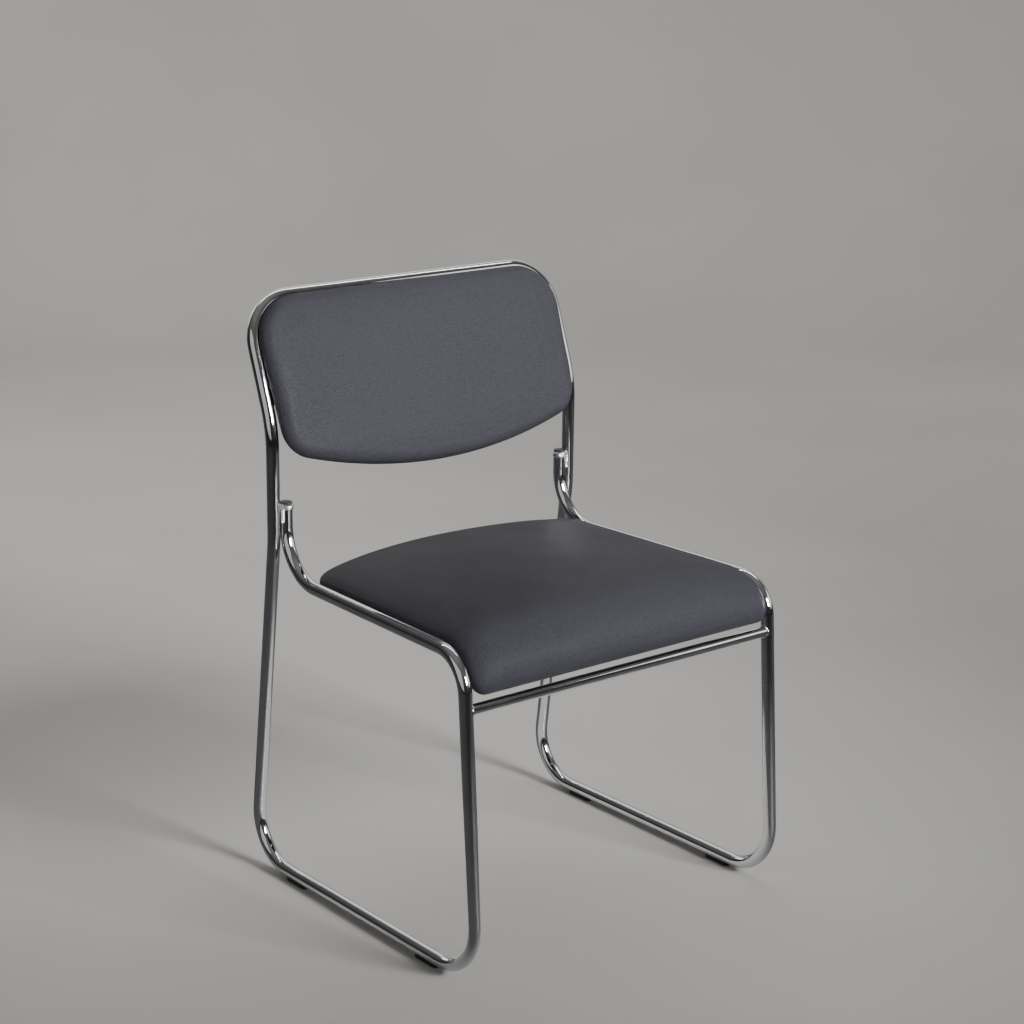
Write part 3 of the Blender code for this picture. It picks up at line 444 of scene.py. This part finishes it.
# Front cross tube
# A thinner tube between the front legs, under the pad's front edge. Its ends are cut to the legs' round and
# welded to them with a small bead, and it is plated with the frame.
cross_radius = 0.007
cross_z = 0.3505
cross_bite = 0.0003
collar_radius = 0.0012
collar_setback = 0.0004
collar_sides = 16
leg_lean = (rail_front[1] - front_foot[1]) / (rail_front[2] - front_foot[2])
cross_y = rail_front[1] + leg_lean * (cross_z - rail_front[2])
cross_angle = np.linspace(0, 2 * np.pi, tube_sides, endpoint=False)
cross_out = np.stack([0 * cross_angle, np.cos(cross_angle), np.sin(cross_angle)], -1)
leg_offset = cross_radius * (np.cos(cross_angle) - leg_lean * np.sin(cross_angle)) / np.hypot(1, leg_lean)
cross_end = half_width - np.sqrt(tube_radius ** 2 - leg_offset ** 2) + cross_bite
cross_share = np.linspace(-1, 1, 9)[:, None]
cross_rings = np.stack(np.broadcast_arrays(cross_share * cross_end, cross_y + cross_radius * cross_out[:, 1],
                                           cross_z + cross_radius * cross_out[:, 2]), -1)
cross_shapes = [ring_solid(cross_rings)]
collar_angle = np.linspace(0, 2 * np.pi, collar_sides, endpoint=False)[:, None, None]
collar_ripple = (1 + 0.15 * np.sin(23 * cross_angle) + 0.10 * np.sin(9 * cross_angle))[None, :, None]
collar_way = np.cos(collar_angle) * cross_out + np.sin(collar_angle) * across
collar_faces = grid_faces(collar_sides + 1, tube_sides, closed=True) % (collar_sides * tube_sides)
for side in (1, -1):
    saddle = np.stack([side * (cross_end - collar_setback), cross_rings[0, :, 1], cross_rings[0, :, 2]], -1)
    collar = saddle + collar_radius * collar_ripple * collar_way
    cross_shapes.append((collar.reshape(-1, 3), collar_faces.tolist()))
add_piece("cross_tube", cross_shapes, chrome, ["front_cross_tube"])

# Glides
# Black plastic shoes under the skids, two on each side. Each is flat below, cups the tube above and has round
# ends.
glide_length = 0.045
glide_half = 0.0062
cup_radius = tube_radius + 0.0001
glide_end = np.linspace(0, np.pi / 2, 9)
glide_share = np.concatenate([-np.cos(glide_end), np.cos(glide_end)[::-1]])
glide_taper = np.concatenate([np.sin(glide_end), np.sin(glide_end)[::-1]])
glide_run = np.repeat([-1, 1], len(glide_end)) * (glide_length / 2 - glide_half) + glide_half * glide_share
glide_width = np.maximum(glide_taper, 0.02)[:, None]
cup_angle = np.linspace(-0.78, 0.78, 15)
glide_x = np.concatenate([cup_radius * np.sin(cup_angle),
                          [0.00625, 0.0062, 0.0058, -0.0058, -0.0062, -0.00625]])
glide_z = np.concatenate([skid_z - cup_radius * np.cos(cup_angle),
                          [0.0042, 0.0006, 0.0, 0.0, 0.0006, 0.0042]])
glide_rings = np.stack(np.broadcast_arrays(glide_x * glide_width, glide_run[:, None], glide_z), -1)
for end in ("front", "rear"):
    for label, mirror in both_sides:
        low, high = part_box("glide_%s_%s" % (end, label))
        middle = np.array([mirror[0] * half_width, (low.y + high.y) / 2, 0])
        add_piece("shoe_%s_%s" % (end, label), [ring_solid(glide_rings + middle)], plastic,
                  ["glide_%s_%s" % (end, label)], 50)

# Seat pad
# Foam on a bent plywood board under one piece of charcoal leatherette with a fine pebble grain. The cover is
# pulled over the foam, down its sides and stapled under the board, so it is tight. The pad rolls over the
# front of the rails.
cover_thickness = 0.0012
pad_gap = 0.0012
seat_rear_y = 0.182
seat_rear_bow = 0.500
seat_rear_corner = 0.048
seat_rear_reach = 0.11
seat_easing = 0.05
seat_front_corner = 0.016
seat_overrun = 0.002
seat_turn = np.arctan2(rail_front[2] - front_foot[2], rail_front[1] - front_foot[1])
seat_straight = seat_rear_y - rail_front[1] - front_bend * np.tan(seat_turn / 2)
seat_length = seat_straight + front_bend * seat_turn + seat_overrun


def seat_place(x, t, h):
    """World points of the seat: x across, t forward along the rails and round their front bend, h above
    them."""
    angle = np.clip((t - seat_straight) / front_bend, 0, seat_turn)
    beyond = np.maximum(t - seat_straight - front_bend * seat_turn, 0)
    reach = front_bend + h
    y = seat_rear_y - np.minimum(t, seat_straight) - reach * np.sin(angle) - beyond * np.cos(seat_turn)
    z = rail_z - front_bend + reach * np.cos(angle) - beyond * np.sin(seat_turn)
    return np.stack([x + 0 * t, y, z], -1)


def rail_half(t):
    """Half the seat pad's width between the rails, which spread towards the front, at a place along it."""
    y = seat_place(0 * t, t, 0 * t)[..., 1]
    share = np.clip((stub_foot[1] - y) / (stub_foot[1] - rail_front[1]), 0, 1)
    return stub_foot[0] + (half_width - stub_foot[0]) * share - tube_radius - pad_gap


def bowed_end(half, bow, corner, steps=24):
    """Right half of a pad's bowed end, as half-widths and how far in they lie: an arc of the bow's radius
    from the middle, then a corner arc tangent to it that ends along the pad's side."""
    corner_x = half - corner
    meeting = np.arcsin(corner_x / (bow - corner))
    depth = bow - np.sqrt((bow - corner) ** 2 - corner_x ** 2)
    share = np.linspace(0, 1, steps)
    bow_angle = meeting * share
    corner_angle = meeting + (np.pi / 2 - meeting) * share[1:]
    x = np.concatenate([bow * np.sin(bow_angle), corner_x + corner * np.sin(corner_angle)])
    inward = np.concatenate([bow * (1 - np.cos(bow_angle)), depth - corner * np.cos(corner_angle)])
    return np.stack([x, inward], -1), 3 * steps // 2 - 1


def seat_outline(inset):
    """Right half of the seat pad's outline from its rear middle to its front middle, and its two corners'
    places. Behind, the side eases from the bowed end into the line of the rail."""
    rear_half = rail_half(np.array(seat_rear_reach)) - inset
    rear, rear_corner = bowed_end(rear_half, seat_rear_bow - inset, seat_rear_corner - inset)
    rear[:, 1] += inset
    corner = seat_front_corner - inset
    side_end = seat_length - seat_front_corner
    side_t = np.linspace(rear[-1, 1], side_end, 40)[1:]
    side_x = rail_half(side_t) - inset
    side_x = side_x + (rear[-1, 0] - side_x) * np.clip(1 - (side_t - side_t[0]) / seat_easing, 0, 1) ** 2
    angle = np.linspace(0, np.pi / 2, 13)[1:]
    front_x = side_x[-1] - corner + corner * np.cos(angle)
    front_t = side_end + corner * np.sin(angle)
    half = np.concatenate([rear, np.stack([side_x, side_t], -1), np.stack([front_x, front_t], -1),
                           [[0.0, seat_length - inset]]])
    return half, rear_corner, len(rear) + len(side_t) + 5


def even_steps(line, share):
    """Points at given shares of a line's whole length."""
    run = np.concatenate([[0], np.cumsum(np.linalg.norm(np.diff(line, axis=0), axis=1))])
    return np.stack([np.interp(share * run[-1], run, line[:, axis]) for axis in (0, 1)], -1)


def crowded(count):
    """Shares from 0 to 1 whose steps are a quarter as long at the ends as in the middle."""
    share = np.linspace(0, 1, count)
    return share - 0.6 * np.sin(2 * np.pi * share) / (2 * np.pi)


def pad_plan(outline, rows, columns):
    """Grid over a pad's outline, cut at its four corners: the sum of the blend between its ends and the blend
    between its sides, less the blend of its corners."""
    half, first, last = outline
    left = half * np.array([-1.0, 1.0])
    u = crowded(columns)
    v = crowded(rows)
    start = even_steps(np.concatenate([left[first:0:-1], half[:first + 1]]), u)[None]
    end = even_steps(np.concatenate([left[last:-1], half[:last - 1:-1]]), u)[None]
    low_side = even_steps(left[first:last + 1], v)[:, None]
    high_side = even_steps(half[first:last + 1], v)[:, None]
    u = u[None, :, None]
    v = v[:, None, None]
    ends = (1 - v) * start + v * end
    sides = (1 - u) * low_side + u * high_side
    corners = ((1 - v) * ((1 - u) * start[:, :1] + u * start[:, -1:])
               + v * ((1 - u) * end[:, :1] + u * end[:, -1:]))
    return ends + sides - corners


def border_loop(grid):
    """The border of a grid, once round."""
    return np.concatenate([grid[0], grid[1:, -1], grid[-1, -2::-1], grid[-2:0:-1, 0]])


def pad_height(plan, outline, low, rise, edge_round, crown):
    """Height of a pad's top: a quarter-round edge as wide as edge_round, and a crown that falls off with the
    square of the way to the sides and the fourth power of the way to the ends."""
    least_width = 0.004
    half, _, _ = outline
    border = np.concatenate([half, half[-2:0:-1] * np.array([-1.0, 1.0])])
    run = np.roll(border, -1, 0) - border
    points = plan.reshape(-1, 1, 2)
    share = np.clip(((points - border) * run).sum(-1) / (run ** 2).sum(-1), 0, 1)
    apart = np.linalg.norm(points - border - share[..., None] * run, axis=-1).min(1).reshape(plan.shape[:2])
    near = np.clip(apart / edge_round, 0, 1)
    width = np.interp(plan[..., 1], half[:, 1], half[:, 0])
    to_side = np.clip(plan[..., 0] / np.maximum(width, least_width), -1, 1)
    to_end = 2 * (plan[..., 1] - half[0, 1]) / (half[-1, 1] - half[0, 1]) - 1
    return low + rise * np.sqrt(1 - (1 - near) ** 2) + crown * (1 - to_side ** 2) * (1 - to_end ** 4)


def pad_cover(name, outline, place, height, folds, rows, columns):
    """One sheet over a pad: the crowned top over its plan, then bands down its sides and in under its board,
    each at an inset and a height of the folds."""
    plan = pad_plan(outline(0.0), rows, columns)
    top = place(plan[..., 0], plan[..., 1], pad_height(plan, outline(0.0), *height)).reshape(-1, 3)
    loops = [border_loop(pad_plan(outline(inset), rows, columns)) for inset, _ in folds]
    bands = [place(loop[:, 0], loop[:, 1], np.full(len(loop), rise)) for loop, (_, rise) in zip(loops, folds)]
    index = border_loop(np.arange(rows * columns).reshape(rows, columns))
    faces = [grid_faces(rows, columns)]
    for step in range(len(folds)):
        below = rows * columns + step * len(index) + np.arange(len(index))
        faces.append(np.stack([np.roll(index, -1), index, below, np.roll(below, -1)], -1))
        index = below
    cover = add_object(name, np.concatenate([top, *bands]), np.concatenate(faces).tolist(), 180)
    face_outwards(cover.data)
    return cover


def swell(cover, rows, columns, cap):
    """Lets a cover swell as cloth under pressure for twenty frames, with its border and folds held. Each
    point of its top then moves by the mean of its own shift and its neighbours' ones, each kept within the
    cap and the mean taken six times."""
    start = np.empty(len(cover.data.vertices) * 3)
    cover.data.vertices.foreach_get("co", start)
    start = start.reshape(-1, 3)
    top = np.arange(rows * columns)
    held = cover.vertex_groups.new(name="held")
    free = top.reshape(rows, columns)[1:-1, 1:-1]
    held.add(np.setdiff1d(np.arange(len(start)), free).tolist(), 1.0, "REPLACE")
    cloth = cover.modifiers.new("cloth", "CLOTH")
    cloth.settings.quality = 5
    cloth.settings.use_pressure = True
    cloth.settings.uniform_pressure_force = 4.0
    cloth.settings.vertex_group_mass = "held"
    cloth.settings.effector_weights.gravity = 0.0
    for step in range(1, 21):
        scene.frame_set(step)
    swollen = cover.evaluated_get(bpy.context.evaluated_depsgraph_get())
    end = np.empty(start.size)
    swollen.data.vertices.foreach_get("co", end)
    cover.modifiers.remove(cloth)
    scene.frame_set(1)
    shift = (end.reshape(-1, 3) - start)[top].reshape(rows, columns, 3)
    length = np.maximum(np.linalg.norm(shift, axis=-1, keepdims=True), 1e-9)
    shift = shift * cap * np.tanh(length / cap) / length
    for _ in range(6):
        inner = shift[1:-1, 1:-1] + shift[:-2, 1:-1] + shift[2:, 1:-1] + shift[1:-1, :-2] + shift[1:-1, 2:]
        shift[1:-1, 1:-1] = inner / 5
    start[top] += shift.reshape(-1, 3)
    cover.data.vertices.foreach_set("co", start.ravel())
    cover.data.update()


def finish_cover(cover, material, replaced):
    smooth = cover.modifiers.new("smooth", "SUBSURF")
    smooth.levels = 1
    smooth.render_levels = 1
    skin = cover.modifiers.new("skin", "SOLIDIFY")
    skin.thickness = cover_thickness
    skin.offset = -1
    cover.data.materials.append(material)
    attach(cover, "root")
    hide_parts(*replaced)


grain, grain_in, grain_out = effect_group("pebble_grain", {"Cells": 720.0, "Depth": 0.75},
                                          {"Pits": "Float", "Mottle": "Float", "Cloud": "Float",
                                           "Normal": "Vector"})
grain_place = add_node(grain, "TexCoord").outputs["Object"]
grain_warp = add_node(grain, "TexNoise", {"Vector": grain_place, "Scale": 320.0, "Detail": 2.0})
grain_shift = add_node(grain, "VectorMath", {0: grain_warp.outputs["Color"], 1: (0.0011, 0.0011, 0.0011)},
                       operation="MULTIPLY")
grain_warped = add_node(grain, "VectorMath", {0: grain_place, 1: grain_shift.outputs["Vector"]},
                        operation="ADD")
grain_cells = add_node(grain, "TexVoronoi", {"Vector": grain_warped.outputs["Vector"],
                                             "Scale": grain_in["Cells"], "Randomness": 0.9},
                       feature="DISTANCE_TO_EDGE")
grain_pits = add_range(grain, grain_cells.outputs["Distance"], 0.0, 0.22, kind="SMOOTHSTEP")
grain_cloud = add_noise(grain, grain_place, 16.0, 4.0)
grain_mottle = add_noise(grain, grain_place, 430.0, 2.0)
grain_height = add_math(grain, "MULTIPLY_ADD", grain_cloud, 0.3, grain_pits)
grain_bump = add_node(grain, "Bump", {"Strength": grain_in["Depth"], "Distance": 0.0003,
                                      "Height": grain_height})
feed(grain, grain_out, Pits=grain_pits, Mottle=grain_mottle, Cloud=grain_cloud,
     Normal=grain_bump.outputs["Normal"])

leather, leather_tree, leather_shader = new_material("charcoal_leatherette", Specular_IOR_Level=0.12, IOR=1.5)
leather_skin = add_node(leather_tree, "Group", node_tree=grain).outputs
# Painted shade: the leatherette's colour is darker down in the grain's pits, darkest at the cell edges.
leather_painted_pit_shade = add_ramp(leather_tree, leather_skin["Pits"],
                        [(0.0, (0.014, 0.014, 0.0175)), (0.8, (0.0445, 0.0440, 0.0550))])
leather_tone = add_ramp(leather_tree, leather_skin["Mottle"], [(0.3, 0.82), (0.7, 1.0)])
leather_colour = mix_colours(leather_tree, 1.0, leather_painted_pit_shade, leather_tone, "MULTIPLY")
leather_rough = add_range(leather_tree, leather_skin["Cloud"], 0.3, 0.7, 0.41, 0.48)
feed(leather_tree, leather_shader, Base_Color=leather_colour, Roughness=leather_rough,
     Normal=leather_skin["Normal"])

seat_grid = (84, 84)
seat_folds = [(-0.0002, 0.0035), (0.0002, 0.0005), (0.0007, -0.0030), (0.0017, -0.0048), (0.004, -0.0055),
              (0.010, -0.0055)]
seat_heights = (0.0060, 0.0135, 0.035, 0.0125)
seat_cover = pad_cover("seat_pad", seat_outline, seat_place, seat_heights, seat_folds, *seat_grid)
swell(seat_cover, *seat_grid, 0.0014)
finish_cover(seat_cover, leather, ["seat_cover", "seat_foam"])

# Seat board and dust cover
# The board is bent plywood, thin birch layers glued across each other. A black felt sheet closes the seat
# below.
ply, ply_tree, ply_shader = new_material("birch_plywood", Roughness=0.6)
ply_place = add_node(ply_tree, "TexCoord").outputs["Object"]
ply_stretch = add_node(ply_tree, "Mapping", {"Vector": ply_place, "Scale": (6.0, 60.0, 700.0)})
ply_grain = add_noise(ply_tree, ply_stretch.outputs["Vector"], 1.0, 5.0)
ply_colour = add_ramp(ply_tree, ply_grain, [(0.3, (0.42, 0.27, 0.15)), (0.7, (0.62, 0.45, 0.28))])
ply_bump = add_node(ply_tree, "Bump", {"Strength": 0.2, "Distance": 0.0005, "Height": ply_grain})
feed(ply_tree, ply_shader, Base_Color=ply_colour, Normal=ply_bump.outputs["Normal"])


def dress(names, material):
    """Gives CAD nodes that stay in view a material."""
    for name in names:
        nodes[name].data.materials.clear()
        nodes[name].data.materials.append(material)


dress(["seat_board"], ply)
felt, felt_tree, felt_shader = new_material("black_felt", Roughness=0.95, Sheen_Weight=0.25)
felt_place = add_node(felt_tree, "TexCoord").outputs["Object"]
felt_fibre = add_noise(felt_tree, felt_place, 900.0, 5.0, Distortion=1.5)
felt_colour = add_ramp(felt_tree, felt_fibre, [(0.3, 0.008), (0.7, 0.026)])
felt_bump = add_node(felt_tree, "Bump", {"Strength": 0.5, "Distance": 0.0005, "Height": felt_fibre})
feed(felt_tree, felt_shader, Base_Color=felt_colour, Normal=felt_bump.outputs["Normal"])
dress(["seat_dust_cover"], felt)

# Seat fixings
# Flat steel tabs from the rails and a strap between them at the rear, plated with the frame. Zinc-plated
# pan-head screws pass up through them into tee nuts in the board.
dress(["seat_tab_left", "seat_tab_right", "seat_strap"], chrome)
zinc, zinc_tree, zinc_shader = new_material("zinc_plate", Metallic=1.0)
zinc_marks = add_node(zinc_tree, "Group", {"Waviness": 0.15}, node_tree=polish).outputs
zinc_colour = add_ramp(zinc_tree, zinc_marks["Smear"],
                       [(0.3, (0.50, 0.51, 0.53)), (0.7, (0.66, 0.66, 0.64))])
zinc_rough = add_range(zinc_tree, zinc_marks["Smear"], 0.0, 1.0, 0.25, 0.45)
feed(zinc_tree, zinc_shader, Base_Color=zinc_colour, Roughness=zinc_rough, Normal=zinc_marks["Normal"])
seat_corners = ["%s_%s" % (end, label) for end in ("front", "rear") for label in ("left", "right")]
dress(["seat_tee_nut_" + corner for corner in seat_corners], zinc)
head_radius = 0.006
head_height = 0.0035
dome_height = 0.0016
dome_rings = 26
shank_radius = 0.003
recess_half_width = 0.00055
recess_reach = 0.0031
recess_depth = 0.0016
recess_slope = 0.00025


def node_points(name):
    """The points of a CAD node as an array."""
    flat = np.empty(len(nodes[name].data.vertices) * 3)
    nodes[name].data.vertices.foreach_get("co", flat)
    return flat.reshape(-1, 3)


def screw_solid(points, inwards):
    """A pan-head screw where a CAD screw is: its head domed and cut with a cross recess that is turned a
    little, its shank a plain cylinder with a turned-in end. Heights run inwards from the head's outer face."""
    depth = points @ inwards
    face = depth.min()
    length = depth.max() - face
    middle = points.mean(0)
    middle = middle + (face - middle @ inwards) * inwards
    dome = np.linspace(0.03, 1, dome_rings)
    below_radius = [head_radius, head_radius - 0.0002, shank_radius, shank_radius, shank_radius - 0.0006,
                    0.0002]
    below_height = [head_height - 0.0005, head_height, head_height, length - 0.001, length, length]
    radius = np.concatenate([head_radius * dome, below_radius])
    height = np.concatenate([dome_height * dome ** 2.6, below_height])
    first = unit(np.cross(inwards, across + 0.01))
    second = np.cross(inwards, first)
    rings = ring_points(middle + height[:, None] * inwards, first[None], second[None], radius[:, None], 64)
    flat = rings - middle
    aside = np.abs(np.stack([flat @ first, flat @ second]))
    outside = np.maximum(aside.min(0) - recess_half_width, aside.max(0) - recess_reach)
    cut = np.clip(-outside / recess_slope, 0, 1) * (np.arange(len(radius)) < dome_rings)[:, None]
    return ring_solid(rings + (recess_depth * cut)[..., None] * inwards)


upwards = np.array([0.0, 0.0, 1.0])
seat_screws = ["seat_screw_" + corner for corner in seat_corners]
add_piece("seat_screws", [screw_solid(node_points(name), upwards) for name in seat_screws], zinc,
          seat_screws)

# Back pad
# The same leatherette over thinner foam on a flat plywood board. The board sits inside the top bow, and the
# cushion reaches a little over the tubes in front. Its lower edge is bowed and its cover is tight, folded in
# behind the board.
back_up = unit(top_corner - recline_knee)
back_ahead = np.cross(across, back_up)
back_length = np.linalg.norm(top_corner - recline_knee)
back_edge = 0.0022
back_low_draw = 0.004
back_low_bow = 0.700
back_low_corner = 0.044
back_drop = 0.0755


def back_place(x, s, d):
    """World points of the back: x across, s up along the reclined tubes, d forward of their centre lines."""
    along = (s + 0 * x)[..., None] * back_up
    ahead = (d + 0 * x)[..., None] * back_ahead
    return recline_knee * np.array([0.0, 1.0, 1.0]) + (x[..., None] * across + along + ahead)


def back_outline(inset):
    """Right half of the back pad's outline from its bottom middle to its top middle, and its two corners'
    places."""
    half = half_width - back_edge - inset
    low, low_corner = bowed_end(half - back_low_draw, back_low_bow - inset, back_low_corner - inset)
    low[:, 1] += inset - back_drop
    corner = top_bend - back_edge - inset
    top = back_length - back_edge - inset
    share = np.linspace(0, 1, 30)[1:-1, None]
    side = low[-1] + (np.array([half, top - corner]) - low[-1]) * share
    angle = np.linspace(0, np.pi / 2, 25)
    high = np.stack([half - corner + corner * np.cos(angle), top - corner + corner * np.sin(angle)], -1)
    outline = np.concatenate([low, side, high, [[0.0, top]]])
    return outline, low_corner, len(low) + len(side) + 12


back_grid = (60, 96)
back_folds = [(0.0000, 0.0097), (0.0008, 0.0091), (0.0030, 0.0081), (0.0060, 0.0059), (0.0086, 0.0036),
              (0.0090, 0.0005), (0.0095, -0.0030), (0.0105, -0.0039), (0.0130, -0.0042), (0.0190, -0.0042)]
back_heights = (0.0100, 0.0135, 0.0150, 0.0060)
back_cover = pad_cover("back_pad", back_outline, back_place, back_heights, back_folds, *back_grid)
swell(back_cover, *back_grid, 0.0012)
finish_cover(back_cover, leather, ["back_cover", "back_foam"])
dress(["back_board"], ply)

# Rear panel and back fixings
# A thin panel in the same leatherette closes the back behind. Chromed tabs from the uprights lie on it, and
# screws pass through them and the panel into tee nuts in the board.
dress(["back_panel"], leather)
back_corners = ["%s_%s" % (end, label) for end in ("lower", "upper") for label in ("left", "right")]
dress(["back_tab_" + corner for corner in back_corners], chrome)
dress(["back_tee_nut_" + corner for corner in back_corners], zinc)
back_screws = ["back_screw_" + corner for corner in back_corners]
add_piece("back_screws", [screw_solid(node_points(name), back_ahead) for name in back_screws], zinc,
          back_screws)
